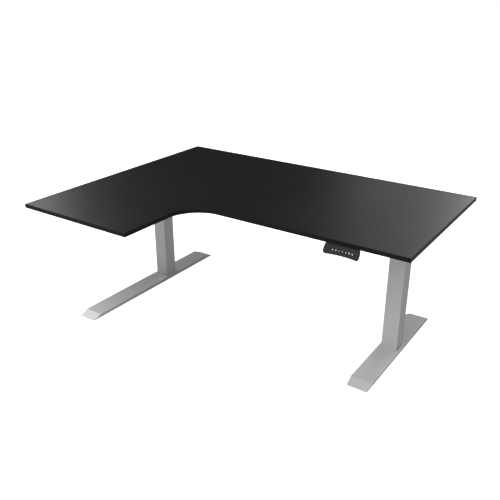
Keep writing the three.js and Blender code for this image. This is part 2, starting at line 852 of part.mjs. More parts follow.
// The neck that carries the shell: it narrows towards the rear, where the lead comes out.
function handsetNeck(shellDepth) {
  const overlap = 1;
  const [frontY] = faceToSide(handset.cavityEndMargin, shellDepth - overlap);
  const side = sideProfile(
    [
      [frontY, -desk.seat],
      faceToSide(handset.cavityEndMargin, shellDepth - overlap),
      faceToSide(handset.height - 2 * handset.cavityEndMargin, shellDepth - overlap),
      [handset.rearReach, -handset.rearHeight],
      [handset.rearReach, -desk.seat],
    ],
    handset.width,
  );
  const front = handset.topWidth / 2 - handset.neckInset;
  const rear = handset.neckRearWidth / 2;
  const plan = new THREE.Shape();
  plan.moveTo(-front, -handset.height);
  plan.lineTo(front, -handset.height);
  plan.lineTo(front, frontY);
  plan.lineTo(rear, handset.rearReach);
  plan.lineTo(-rear, handset.rearReach);
  plan.lineTo(-front, frontY);
  plan.closePath();
  return common(side, prism(plan, -2 * handset.height, 0)).translate(0, mainFrontY, underside);
}

// The shell, screwed under the board by its neck. Its rim stands round the face panel, flush with it.
// It is made in the desk's frame, so that its top is flat.
function handsetHousing() {
  const shellDepth = handset.panel + handset.cavity + handset.wall;
  const side = sideProfile(
    [
      faceToSide(0, 0),
      faceToSide(handset.height, 0),
      faceToSide(handset.height, shellDepth),
      faceToSide(0, shellDepth),
      [faceToSide(0, shellDepth)[0], -desk.seat],
      [0, -desk.seat],
    ],
    handset.width,
  ).translate(0, mainFrontY, underside);
  const turn = new THREE.Matrix4()
    .makeTranslation(0, mainFrontY, underside - desk.turnedGap)
    .multiply(new THREE.Matrix4().makeRotationX(slope));
  // The sides and the bottom follow the face outline; a block past the top edge lets the top reach up.
  const past = 5;
  const overlap = 1;
  const outline = prism(faceOutline(0), -handset.rearReach, past, 8);
  const above = block(handset.topWidth, handset.height, -handset.rearReach, past, 0, handset.height / 2 - overlap);
  const envelope = join(outline, above).applyMatrix4(turn);
  const shell = join(common(side, envelope), handsetNeck(shellDepth));
  const pocket = prism(faceOutline(handset.rim - handset.panelFit), -pocketDepth, past, 8);
  const { width, height } = cavitySize();
  const cavity = block(width, height, -handset.panel - handset.cavity, 0, 0, keyY);
  const body = cut(shell, pocket.applyMatrix4(turn), cavity.applyMatrix4(turn));
  return at(named("handset_housing", body, blackPlastic), handsetX, 0, 0);
}

function handsetPieces() {
  const face = faceGroup();
  face.add(facePanel(), circuitBoard(), ...keyNames.map((_, index) => keyPiece(index)));
  return [handsetHousing(), face];
}

// ---- The whole desk -------------------------------------------------------------------------------

const standingDesk = new THREE.Group();
standingDesk.add(
  ...worktopPieces(),
  column("left", leftColumnX, foot.leftFrontReach, 1),
  column("right", rightColumnX, foot.rightFrontReach, -1),
  bracketPiece("left_side_bracket", leftColumnX, bracket.leftFrontReach),
  bracketPiece("right_side_bracket", rightColumnX, bracket.rightFrontReach),
  crossRail("front_rail", columnY - rail.fromColumn),
  crossRail("rear_rail", columnY + rail.fromColumn),
  wingRailPiece(),
  ...controlBoxPieces(),
  ...cablePieces(),
  ...clipPieces(),
  ...handsetPieces(),
);

export default standingDesk;
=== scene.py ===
"""The looks of an L-shaped sit-stand desk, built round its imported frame.

Everything is in metres, in the frame's own axes: +X runs along the back edge to the user's right, +Y to the
back and +Z up. The user sits on the -Y side, and the worktop's wing points to -Y on the left.
"""
import functools
import json
import logging
import math
from collections.abc import Callable, Iterable, Sequence
from dataclasses import dataclass, field
from enum import Enum

import bmesh
import bpy
from mathutils import Matrix, Vector


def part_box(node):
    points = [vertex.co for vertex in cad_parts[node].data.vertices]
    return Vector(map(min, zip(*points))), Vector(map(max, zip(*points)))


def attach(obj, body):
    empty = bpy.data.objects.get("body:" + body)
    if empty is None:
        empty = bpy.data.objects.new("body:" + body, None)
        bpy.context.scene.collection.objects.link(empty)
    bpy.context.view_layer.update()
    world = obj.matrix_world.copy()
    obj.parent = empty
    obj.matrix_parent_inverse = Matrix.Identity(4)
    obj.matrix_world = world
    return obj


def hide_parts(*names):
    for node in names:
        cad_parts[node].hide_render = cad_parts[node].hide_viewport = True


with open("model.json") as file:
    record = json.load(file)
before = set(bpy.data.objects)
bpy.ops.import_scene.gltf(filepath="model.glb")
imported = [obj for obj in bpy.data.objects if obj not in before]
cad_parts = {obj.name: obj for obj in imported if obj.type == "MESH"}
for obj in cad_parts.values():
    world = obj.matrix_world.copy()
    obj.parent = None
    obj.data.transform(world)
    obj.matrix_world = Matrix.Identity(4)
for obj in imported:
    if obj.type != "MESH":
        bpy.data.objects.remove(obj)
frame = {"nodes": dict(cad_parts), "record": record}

LOG = logging.getLogger("desk")
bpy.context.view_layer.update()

MM = 0.001
Point2 = tuple[float, float]
Point3 = tuple[float, float, float]
Colour = tuple[float, float, float]
Shape = bmesh.types.BMesh
Mesh = bpy.types.Mesh
Socket = bpy.types.NodeSocket
Tree = bpy.types.NodeTree
WHITE = (1.0, 1.0, 1.0, 1.0)


class Side(Enum):
    """The two columns, as seen by the user."""

    LEFT = "left"
    RIGHT = "right"


class Axis(Enum):
    """The direction that a tube or a bar runs in."""

    X = 0
    Y = 1
    Z = 2


class Sign(Enum):
    """What is printed on each key of the handset, by the key's name."""

    UP = "up"
    DOWN = "down"
    ONE = "one"
    TWO = "two"
    THREE = "three"
    MEMORY = "memory"
    LOCK = "lock"


LETTERS = {Sign.ONE: "1", Sign.TWO: "2", Sign.THREE: "3", Sign.MEMORY: "M"}


# ---- Shader graphs ----


class Graph:
    """A node tree with one short call that adds a node and links it."""

    def __init__(self, tree: Tree) -> None:
        """Wraps the node tree that the calls work on."""
        self.tree = tree

    def add(self, kind: str, inputs: dict | None = None, **settings: object) -> bpy.types.Node:
        """Adds a node.

        Args:
            kind: the node's type name.
            inputs: values for input sockets, by socket name or index.
            settings: properties of the node itself.

        Returns:
            The new node.
        """
        node = self.tree.nodes.new(kind)
        for key, value in settings.items():
            setattr(node, key, value)
        for key, value in (inputs or {}).items():
            if isinstance(value, Socket):
                self.tree.links.new(value, node.inputs[key])
            else:
                node.inputs[key].default_value = value
        return node


class Surface(Graph):
    """A material's graph, with the surface's own coordinates at hand."""

    def __init__(self, material: bpy.types.Material) -> None:
        """Empties the material's tree and adds the coordinates.

        Args:
            material: the material that the calls work on.
        """
        material.use_nodes = True
        material.node_tree.nodes.clear()
        super().__init__(material.node_tree)
        self.place = self.add("ShaderNodeTexCoord").outputs["Object"]

    def effect(self, group: Tree, **inputs: object) -> Socket:
        """Places a shared effect at the surface's coordinates and returns its output."""
        given = {"Vector": self.place, **inputs}
        return self.add("ShaderNodeGroup", given, node_tree=group).outputs[0]


def group_sockets(tree: Tree, inputs: dict[str, str], outputs: dict[str, str]) -> None:
    """Declares a group's named sockets.

    Args:
        tree: the group's tree.
        inputs: socket type by input name.
        outputs: socket type by output name.
    """
    for name, kind in inputs.items():
        tree.interface.new_socket(name, in_out="INPUT", socket_type=kind)
    for name, kind in outputs.items():
        tree.interface.new_socket(name, in_out="OUTPUT", socket_type=kind)


class Effects:
    """The shader effects that several finishes share, each a group that is built once."""

    def __init__(self) -> None:
        """Builds every group."""
        self.grain = self._grain()
        self.drift = self._drift()
        self.fleck = self._fleck()
        self.streaks = self._streaks()

    @staticmethod
    def _start(
        name: str, output: str, floats: Sequence[str] = (), vectors: Sequence[str] = ("Vector",)
    ) -> tuple[Graph, bpy.types.bpy_prop_collection]:
        """Opens a group with one value output.

        Args:
            name: the group's name.
            output: the output's name.
            floats: the names of its number inputs.
            vectors: the names of its vector inputs.

        Returns:
            The graph and the sockets of its inputs.
        """
        tree = bpy.data.node_groups.new(name, "ShaderNodeTree")
        inputs = {label: "NodeSocketVector" for label in vectors}
        inputs |= {label: "NodeSocketFloat" for label in floats}
        group_sockets(tree, inputs, {output: "NodeSocketFloat"})
        graph = Graph(tree)
        return graph, graph.add("NodeGroupInput").outputs

    @staticmethod
    def _finish(graph: Graph, value: Socket) -> Tree:
        """Links the value that leaves the group and returns the group's tree."""
        graph.add("NodeGroupOutput", {0: value})
        return graph.tree

    def _grain(self) -> Tree:
        """A fine two-scale texture: soft pebbles with smaller pits on them.

        Returns:
            The group's tree.
        """
        graph, given = self._start("fine_grain", "Height", ("Scale", "Pits"))
        place, scale = given["Vector"], given["Scale"]
        pebbles = graph.add(
            "ShaderNodeTexNoise", {"Vector": place, "Scale": scale, "Detail": 2.0, "Roughness": 0.45}
        )
        pits_to_pebbles = 2.7
        finer = graph.add("ShaderNodeMath", {0: scale, 1: pits_to_pebbles}, operation="MULTIPLY")
        cells = graph.add(
            "ShaderNodeTexVoronoi",
            {"Vector": place, "Scale": finer.outputs[0], "Randomness": 1.0},
            feature="SMOOTH_F1",
        )
        mixed = graph.add(
            "ShaderNodeMix",
            {0: given["Pits"], 2: pebbles.outputs["Fac"], 3: cells.outputs["Distance"]},
            data_type="FLOAT",
        )
        return self._finish(graph, mixed.outputs[0])

    def _drift(self) -> Tree:
        """A slow wander between two values across the surface.

        Returns:
            The group's tree.
        """
        graph, given = self._start("slow_drift", "Value", ("Scale", "Low", "High"))
        place, scale = given["Vector"], given["Scale"]
        cloud = graph.add(
            "ShaderNodeTexNoise", {"Vector": place, "Scale": scale, "Detail": 4.0, "Roughness": 0.55}
        )
        spread = graph.add(
            "ShaderNodeMapRange",
            {
                "Value": cloud.outputs["Fac"],
                "From Min": 0.3,
                "From Max": 0.7,
                "To Min": given["Low"],
                "To Max": given["High"],
            },
        )
        return self._finish(graph, spread.outputs[0])

    def _fleck(self) -> Tree:
        """A random value for each tiny cell: a painted glint of a coat's metal flakes, shown as lighter
        flecks.

        Returns:
            The group's tree.
        """
        graph, given = self._start("painted_flake_glint", "Value", ("Scale", "Amount"))
        place, scale = given["Vector"], given["Scale"]
        cells = graph.add("ShaderNodeTexVoronoi", {"Vector": place, "Scale": scale, "Randomness": 1.0})
        parts = graph.add("ShaderNodeSeparateColor", {0: cells.outputs["Color"]})
        amounts = {0: parts.outputs[0], 1: given["Amount"]}
        return self._finish(graph, graph.add("ShaderNodeMath", amounts, operation="MULTIPLY").outputs[0])

    def _streaks(self) -> Tree:
        """Fine parallel turning or drawing marks: noise that is stretched by a vector.

        Returns:
            The group's tree.
        """
        graph, given = self._start("drawn_streaks", "Height", vectors=("Vector", "Stretch"))
        factors = {0: given["Vector"], 1: given["Stretch"]}
        stretched = graph.add("ShaderNodeVectorMath", factors, operation="MULTIPLY")
        noise = graph.add(
            "ShaderNodeTexNoise", {"Vector": stretched.outputs[0], "Scale": 1.0, "Detail": 3.0}
        )
        return self._finish(graph, noise.outputs["Fac"])


EFFECTS = Effects()


# ---- Finishes ----


@dataclass(frozen=True)
class Finish:
    """A moulded, coated or rubber-like surface.

    The base colour wanders between colour and colour * (1 + tint), the roughness between roughness and
    roughness + drift in clouds rough_clouds times finer, and the grain is a bump of grain_depth metres.
    """

    name: str
    colour: Colour
    roughness: float
    metallic: float = 0.0
    specular: float = 0.5
    tint: float = 0.08
    drift: float = 0.05
    drift_scale: float = 3.0
    grain_scale: float = 900.0
    grain_depth: float = 0.02 * MM
    grain_strength: float = 0.35
    pits: float = 0.3
    rough_clouds: float = 1.7

    @functools.cache
    def material(self) -> bpy.types.Material:
        """Makes the material when it is first asked for.

        Returns:
            The material, the same one every time.
        """
        material = bpy.data.materials.new(self.name)
        material.diffuse_color = (*self.colour, 1.0)
        graph = Surface(material)
        bump = graph.add(
            "ShaderNodeBump",
            {
                "Strength": self.grain_strength,
                "Distance": self.grain_depth,
                "Height": self.height_source(graph),
            },
        )
        shader = graph.add(
            "ShaderNodeBsdfPrincipled",
            {
                "Base Color": self.colour_source(graph),
                "Roughness": self.roughness_source(graph),
                "Metallic": self.metallic,
                "Specular IOR Level": self.specular,
                "Normal": bump.outputs["Normal"],
            },
        )
        graph.add("ShaderNodeOutputMaterial", {0: shader.outputs[0]})
        return material

    def shade(self, factor: float) -> tuple[float, float, float, float]:
        """The finish's colour made lighter or darker by a factor."""
        return (*(channel * factor for channel in self.colour), 1.0)

    def colour_source(self, graph: Surface) -> Socket:
        """Makes the base colour.

        Args:
            graph: the material's graph.

        Returns:
            A colour socket.
        """
        cloud = graph.effect(EFFECTS.drift, Scale=self.drift_scale, Low=0.0, High=1.0)
        lighter = self.shade(1.0 + self.tint)
        inputs = {0: cloud, 6: self.shade(1.0), 7: lighter}
        return graph.add("ShaderNodeMix", inputs, data_type="RGBA").outputs[2]

    def roughness_source(self, graph: Surface) -> Socket:
        """Makes the roughness, in finer clouds than the colour's."""
        scale, most = self.drift_scale * self.rough_clouds, self.roughness + self.drift
        return graph.effect(EFFECTS.drift, Scale=scale, Low=self.roughness, High=most)

    def height_source(self, graph: Surface) -> Socket:
        """Makes the fine texture's height."""
        return graph.effect(EFFECTS.grain, Scale=self.grain_scale, Pits=self.pits)


@dataclass(frozen=True)
class PowderCoat(Finish):
    """Baked powder paint: orange peel, with a painted glint of its metal flakes as lighter flecks in the
    colour.
    """

    # The flecks' size, share and lightness: a painted glint of metal flakes.
    fleck_scale: float = 1400.0
    fleck: float = 0.5
    fleck_gain: float = 1.25

    def colour_source(self, graph: Surface) -> Socket:
        """Mixes lighter flecks, a painted glint of the metal flakes, into the drifting base colour.

        Args:
            graph: the material's graph.

        Returns:
            A colour socket.
        """
        base = super().colour_source(graph)
        # Painted glint: lighter flecks in the base colour stand in for the sparkle of metal flakes.
        amount = graph.effect(EFFECTS.fleck, Scale=self.fleck_scale, Amount=self.fleck)
        inputs = {0: amount, 6: base, 7: self.shade(self.fleck_gain)}
        return graph.add("ShaderNodeMix", inputs, data_type="RGBA").outputs[2]


@dataclass(frozen=True)
class DrawnMetal(Finish):
    """Bare or plated steel with fine marks along one direction."""

    stretch: Point3 = (1500.0, 1500.0, 40.0)

    def height_source(self, graph: Surface) -> Socket:
        """Makes the marks' height."""
        return graph.effect(EFFECTS.streaks, Stretch=self.stretch)


def named(*finishes: Finish) -> dict[str, Finish]:
    """Finishes by their names, which are the record's slot names."""
    return {finish.name: finish for finish in finishes}


FINISHES = named(
    Finish(
        "black_laminate", (0.0085, 0.0085, 0.0088), roughness=0.36, tint=0.25, drift=0.035,
        drift_scale=2.2, grain_scale=1300.0, grain_depth=0.012 * MM, grain_strength=0.22, pits=0.45,
    ),
    Finish(
        "black_edge_band", (0.0035, 0.0035, 0.0037), roughness=0.45, specular=0.16,
        grain_scale=1100.0, grain_depth=0.015 * MM, grain_strength=0.3,
    ),
    # Both powder coats carry lighter flecks, a painted glint of their metal flakes.
    PowderCoat(
        "silver_powder_coat", (0.56, 0.56, 0.565), roughness=0.42, metallic=0.2, tint=0.04,
        drift=0.05, grain_scale=650.0, grain_depth=0.03 * MM, grain_strength=0.28, pits=0.15,
    ),
    PowderCoat(
        "black_powder_coat", (0.014, 0.014, 0.015), roughness=0.5, tint=0.2, grain_scale=500.0,
        grain_depth=0.06 * MM, grain_strength=0.6, fleck=0.3, fleck_gain=2.0,
    ),
    Finish("motor_black", (0.016, 0.016, 0.017), roughness=0.38, metallic=0.1, grain_scale=400.0),
    Finish(
        "cast_alloy", (0.4, 0.41, 0.42), roughness=0.45, metallic=0.9, drift=0.12, drift_scale=14.0,
        grain_scale=1500.0, grain_depth=0.05 * MM, grain_strength=0.6, pits=0.7,
    ),
    DrawnMetal(
        "bright_steel", (0.5, 0.51, 0.52), roughness=0.26, metallic=1.0, drift=0.1,
        drift_scale=25.0, grain_depth=0.01 * MM, grain_strength=0.4,
    ),
    Finish("grey_nylon", (0.06, 0.06, 0.064), roughness=0.5, grain_scale=1100.0, pits=0.5),
    Finish(
        "black_plastic", (0.0045, 0.0045, 0.005), roughness=0.48, specular=0.2,
        grain_scale=1600.0, grain_depth=0.03 * MM, grain_strength=0.55, pits=0.6,
    ),
    Finish(
        "handset_face", (0.009, 0.009, 0.0095), roughness=0.42, specular=0.22,
        grain_scale=2400.0, grain_depth=0.012 * MM, grain_strength=0.3, pits=0.5,
    ),
    Finish(
        "handset_keys", (0.008, 0.008, 0.0085), roughness=0.4, specular=0.24,
        grain_scale=2600.0, grain_depth=0.010 * MM, grain_strength=0.25, pits=0.4,
    ),
    Finish(
        "circuit_board", (0.015, 0.075, 0.04), roughness=0.3, grain_scale=700.0, drift_scale=60.0
    ),
    Finish(
        "black_rubber", (0.012, 0.012, 0.012), roughness=0.75, grain_scale=1300.0,
        grain_depth=0.05 * MM, grain_strength=0.7, pits=0.7,
    ),
    Finish("cable_black", (0.011, 0.011, 0.012), roughness=0.45, grain_scale=1800.0, pits=0.2),
)

PRINTED_WHITE = Finish(
    "printed_white", (0.82, 0.82, 0.82), roughness=0.5, tint=-0.06, grain_scale=3000.0
)
DARK_ZINC = DrawnMetal(
    "dark_zinc_screws", (0.10, 0.10, 0.105), roughness=0.3, metallic=1.0, drift_scale=60.0
)


SLOT_OF = {part["node"]: part["material_slot"] for part in frame["record"]["subparts"]}
BODY_OF = {
    node: body for body, nodes in frame["record"]["behaviour"]["bodies"].items() for node in nodes
}


# ---- Meshes ----


def settle(
    shape: Shape | Mesh,
    name: str,
    body: str,
    slot: str,
    stands_for: str | None = None,
    finish: Finish | None = None,
    smooth_degrees: float = 32.0,
) -> None:
    """Turns a shape into a piece of the desk.

    Args:
        shape: the piece's shape, already in place.
        name: the piece's name.
        body: the body that it rides on.
        slot: the record's material slot.
        stands_for: the frame's node that it takes the place of.
        finish: a finish other than the slot's own.
        smooth_degrees: edges that turn less than this are shaded smooth.
    """
    mesh = shape
    if isinstance(shape, Shape):
        mesh = bpy.data.meshes.new(name)
        shape.to_mesh(mesh)
        shape.free()
    mesh.name = name
    mesh.materials.clear()
    mesh.materials.append((finish or FINISHES[slot]).material())
    mesh.polygons.foreach_set("use_smooth", [True] * len(mesh.polygons))
    mesh.set_sharp_from_angle(angle=math.radians(smooth_degrees))
    piece = bpy.data.objects.new(name, mesh)
    bpy.context.scene.collection.objects.link(piece)
    level = piece.modifiers.new("flat_faces_stay_flat", "WEIGHTED_NORMAL")
    level.weight = 100
    level.keep_sharp = True
    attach(piece, body)
    if stands_for:
        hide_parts(stands_for)
    LOG.info("%s rides on %s, %d faces", name, body, len(mesh.polygons))


def stand_in(shape: Shape, node: str, name: str = "", smooth_degrees: float = 32.0) -> None:
    """Settles a shape in a frame node's place, on the same body and in the same finish.

    Args:
        shape: the shape, already in place.
        node: the frame's node.
        name: the piece's name, if it isn't the node's with "_shape".
        smooth_degrees: edges that turn less than this are shaded smooth.
    """
    name = name or f"{node}_shape"
    settle(shape, name, BODY_OF[node], SLOT_OF[node], node, smooth_degrees=smooth_degrees)


def rounded_rectangle(width: float, depth: float, radius: float, steps: int) -> list[Point2]:
    """Points round a rectangle with round corners, anticlockwise.

    Args:
        width: the size along the first axis.
        depth: the size along the second axis.
        radius: the corner radius.
        steps: straight steps in each corner.

    Returns:
        4 * (steps + 1) points about the centre.
    """
    least_radius = 0.3 * MM
    radius = max(radius, least_radius)
    centres = [(1, 1), (-1, 1), (-1, -1), (1, -1)]
    points = []
    for corner, (sx, sy) in enumerate(centres):
        for step in range(steps + 1):
            angle = math.pi / 2 * (corner + step / steps)
            x = sx * (width / 2 - radius) + radius * math.cos(angle)
            y = sy * (depth / 2 - radius) + radius * math.sin(angle)
            points.append((x, y))
    return points


def skin(rings: Sequence[Sequence[Vector]], looped: bool = False) -> Shape:
    """Joins rings of points into one closed shape.

    Args:
        rings: the rings in order, all with the same number of points.
        looped: whether the last ring joins the first; if not, both ends get a flat cap.

    Returns:
        The shape, its faces pointing out.
    """
    shape = bmesh.new()
    made = [[shape.verts.new(point) for point in ring] for ring in rings]
    nexts = made[1:] + made[:1] if looped else made[1:]
    for ring, following in zip(made, nexts):
        for k in range(len(ring)):
            after = (k + 1) % len(ring)
            shape.faces.new((ring[k], ring[after], following[after], following[k]))
    if not looped:
        shape.faces.new(made[0])
        shape.faces.new(made[-1])
    bmesh.ops.recalc_face_normals(shape, faces=shape.faces)
    return shape


def lathe(profile: Sequence[Point2], steps: int) -> Shape:
    """Turns a profile of (radius, height) points about the Z axis, with flat ends.

    Args:
        profile: the outline from the lower end to the upper end, clear of the axis.
        steps: how many flats the turned shape has.

    Returns:
        The closed shape.
    """
    turns = [2 * math.pi * k / steps for k in range(steps)]
    rings = [
        [Vector((radius * math.cos(turn), radius * math.sin(turn), height)) for turn in turns]
        for radius, height in profile
    ]
    return skin(rings)


def carried_copy(node: str) -> Shape:
    """Copies a frame node's solid with its doubles merged and its flat areas made whole.

    Args:
        node: the frame's node.

    Returns:
        The copy, at rest in the frame's axes.
    """
    doubles, flat = 0.002 * MM, math.radians(0.4)
    shape = bmesh.new()
    shape.from_mesh(frame["nodes"][node].data)
    bmesh.ops.remove_doubles(shape, verts=shape.verts, dist=doubles)
    bmesh.ops.dissolve_limit(
        shape,
        angle_limit=flat,
        use_dissolve_boundaries=False,
        verts=shape.verts,
        edges=shape.edges,
    )
    return shape


def any_edge(edge: bmesh.types.BMEdge) -> bool:
    """Takes every edge."""
    return True


def upward_fold(edge: bmesh.types.BMEdge) -> bool:
    """Takes the outside bends of a folded sheet that is open below.

    Args:
        edge: an edge between two faces.

    Returns:
        Whether one of its faces looks up and neither looks down.
    """
    level = 0.3
    rises = sorted(face.normal.z for face in edge.link_faces)
    return rises[-1] > level and rises[0] > -level


def eased(
    node: str,
    width: float,
    segments: int = 3,
    wanted: Callable[[bmesh.types.BMEdge], bool] = any_edge,
    least_degrees: float = 28.0,
) -> Shape:
    """A frame node's own shape with its sharp edges rounded.

    Args:
        node: the frame's node.
        width: the rounding's width.
        segments: flats in each rounding.
        wanted: says which sharp edges are rounded.
        least_degrees: the smallest turn that counts as sharp.

    Returns:
        The rounded copy.
    """
    shape = carried_copy(node)
    least = math.radians(least_degrees)
    sharp = [
        edge
        for edge in shape.edges
        if len(edge.link_faces) == 2 and edge.calc_face_angle(0.0) > least and wanted(edge)
    ]
    bmesh.ops.bevel(
        shape,
        geom=sharp,
        offset=width,
        offset_type="OFFSET",
        segments=segments,
        profile=0.5,
        affect="EDGES",
        clamp_overlap=True,
    )
    return shape


def carry(node: str, width: float, segments: int = 3, **choices: object) -> None:
    """Stands a rounded copy in for a frame node, with any further choices of eased()."""
    stand_in(eased(node, width, segments, **choices), node)


def baked(holder: bpy.types.Object) -> Mesh:
    """Evaluates an object once and removes it.

    Args:
        holder: an object with a modifier or with curves, not yet in the scene.

    Returns:
        A plain mesh of what it made.
    """
    bpy.context.scene.collection.objects.link(holder)
    graph = bpy.context.evaluated_depsgraph_get()
    mesh = bpy.data.meshes.new_from_object(holder.evaluated_get(graph))
    bpy.data.objects.remove(holder)
    return mesh


def centre_of(node: str) -> Vector:
    """The middle of a frame node's box."""
    low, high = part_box(node)
    return (Vector(low) + Vector(high)) / 2


# ---- Repeated pieces ----


@dataclass(frozen=True)
class Placement:
    """Where a repeated piece goes and which way its top faces."""

    spot: Point3
    aim: Point3


UPWARD = (0.0, 0.0, 1.0)
DOWNWARD = (0.0, 0.0, -1.0)


class Repeater:
    """Sets copies of one small piece at points, by Geometry Nodes, and bakes them to one mesh."""

    def __init__(self, name: str, sizes: dict[str, float]) -> None:
        """Opens the tree, with a named input for each size.

        Args:
            name: the tree's name.
            sizes: the repeated piece's sizes, by input name.
        """
        self.sizes = sizes
        self.tree = bpy.data.node_groups.new(name, "GeometryNodeTree")
        inputs = {"Points": "NodeSocketGeometry", **{label: "NodeSocketFloat" for label in sizes}}
        group_sockets(self.tree, inputs, {"Geometry": "NodeSocketGeometry"})
        self.graph = Graph(self.tree)
        self.given = self.graph.add("NodeGroupInput").outputs

    def spread(self, shape: Socket, material: bpy.types.Material) -> None:
        """Sets the shape at every point, turned to the point's aim, and ends the tree.

        Args:
            shape: the geometry that is repeated.
            material: the finish of every copy.
        """
        graph = self.graph
        aim = graph.add(
            "GeometryNodeInputNamedAttribute", {"Name": "aim"}, data_type="FLOAT_VECTOR"
        )
        turn = graph.add(
            "FunctionNodeAlignRotationToVector", {"Vector": aim.outputs["Attribute"]}, axis="Z"
        )
        copies = graph.add(
            "GeometryNodeInstanceOnPoints",
            {"Points": self.given["Points"], "Instance": shape, "Rotation": turn.outputs["Rotation"]},
        )
        real = graph.add("GeometryNodeRealizeInstances", {"Geometry": copies.outputs["Instances"]})
        painted = graph.add(
            "GeometryNodeSetMaterial", {"Geometry": real.outputs["Geometry"], "Material": material}
        )
        graph.add("NodeGroupOutput", {0: painted.outputs["Geometry"]})

    def bake(self, placements: Sequence[Placement]) -> Mesh:
        """Runs the tree on the given points.

        Args:
            placements: where the copies go.

        Returns:
            A plain mesh of all the copies.
        """
        points = bpy.data.meshes.new("points")
        points.from_pydata([placement.spot for placement in placements], [], [])
        aims = points.attributes.new("aim", "FLOAT_VECTOR", "POINT")
        for item, placement in zip(aims.data, placements):
            item.vector = placement.aim
        holder = bpy.data.objects.new("repeat_holder", points)
        modifier = holder.modifiers.new("repeat", "NODES")
        modifier.node_group = self.tree
        for item in self.tree.interface.items_tree:
            if item.name in self.sizes:
                modifier[item.identifier] = self.sizes[item.name]
        return baked(holder)


@dataclass(frozen=True)
class ScrewKind:
    """The sizes of one kind of screw head with a hexagonal socket."""

    radius: float
    height: float
    socket: float
    crown: float = 0.72

    def scatter(self, name: str, body: str, placements: Sequence[Placement]) -> None:
        """Puts this screw at every placement, all in one piece.

        Args:
            name: the piece's name.
            body: the body that the screws ride on.
            placements: where the heads sit and which way they face.
        """
        sizes = {
            "Head Radius": self.radius,
            "Crown Radius": self.radius * self.crown,
            "Head Height": self.height,
            "Socket Radius": self.socket,
        }
        repeater = Repeater(f"{name}_tree", sizes)
        graph, given = repeater.graph, repeater.given
        height = given["Head Height"]
        crown, base = given["Crown Radius"], given["Head Radius"]
        head = graph.add(
            "GeometryNodeMeshCone",
            {"Vertices": 20, "Radius Top": crown, "Radius Bottom": base, "Depth": height},
        )
        hexagon = graph.add(
            "GeometryNodeMeshCylinder",
            {"Vertices": 6, "Radius": given["Socket Radius"], "Depth": height},
        )
        lift = graph.add("ShaderNodeCombineXYZ", {"Z": height})
        raised = graph.add(
            "GeometryNodeTransform",
            {"Geometry": hexagon.outputs["Mesh"], "Translation": lift.outputs[0]},
        )
        bored = graph.add(
            "GeometryNodeMeshBoolean",
            {"Mesh 1": head.outputs["Mesh"], "Mesh 2": raised.outputs["Geometry"]},
            operation="DIFFERENCE",
        )
        repeater.spread(bored.outputs["Mesh"], DARK_ZINC.material())
        settle(repeater.bake(placements), name, body, "bright_steel", finish=DARK_ZINC)


# ---- Worktop ----


@dataclass
class Worktop:
    """The L-shaped board and the strip round its edge."""

    main_depth: float = 0.8
    wing_width: float = 0.6
    inner_radius: float = 0.15
    band: float = 2 * MM
    edge_radius: float = 0.9 * MM
    glue_line: float = 0.12 * MM
    board_ease: float = 0.12 * MM
    arc_steps: int = 64
    edge_steps: int = 5

    def outline(self, inset: float) -> list[Point2]:
        """The L, drawn inwards by an inset on every side.

        Args:
            inset: the distance from the desk's own outline.

        Returns:
            Points, anticlockwise from the wing's front left corner.
        """
        low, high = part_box("edge_band")
        left, front, right, back = low[0], low[1], high[0], high[1]
        wing = left + self.wing_width
        main = back - self.main_depth
        centre = (wing + self.inner_radius, main - self.inner_radius)
        radius = self.inner_radius + inset
        arc = []
        for step in range(self.arc_steps + 1):
            angle = math.pi - math.pi / 2 * step / self.arc_steps
            arc.append((centre[0] + radius * math.cos(angle), centre[1] + radius * math.sin(angle)))
        return [
            (left + inset, front + inset),
            (wing - inset, front + inset),
            *arc,
            (right - inset, main + inset),
            (right - inset, back - inset),
            (left + inset, back - inset),
        ]

    def ring(self, inset: float, height: float) -> list[Vector]:
        """The outline at one height."""
        return [Vector((x, y, height)) for x, y in self.outline(inset)]

    def board(self) -> None:
        """Makes the laminated board inside the strip."""
        low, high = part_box("desktop")
        ease = self.board_ease
        inside = self.band + self.glue_line
        rings = [
            self.ring(inside + ease, low[2]),
            self.ring(inside, low[2] + ease),
            self.ring(inside, high[2] - ease),
            self.ring(inside + ease, high[2]),
        ]
        stand_in(skin(rings), "desktop", "worktop_board")

    def strip(self) -> None:
        """Makes the edge strip, its outer edges rounded by the trimming cutter."""
        low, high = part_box("edge_band")
        bottom, top, radius = low[2], high[2], self.edge_radius
        turns = [math.pi / 2 * k / self.edge_steps for k in range(self.edge_steps + 1)]
        profile = [(self.band, top)]
        profile += [
            (radius - radius * math.sin(t), top - radius + radius * math.cos(t)) for t in turns
        ]
        profile += [
            (radius - radius * math.cos(t), bottom + radius - radius * math.sin(t)) for t in turns
        ]
        profile.append((self.band, bottom))
        rings = [self.ring(inset, z) for inset, z in profile]
        stand_in(skin(rings, looped=True), "edge_band", "worktop_edge_strip")

    def build(self) -> None:
        """Makes both pieces."""
        self.board()
        self.strip()


# ---- Feet and columns ----


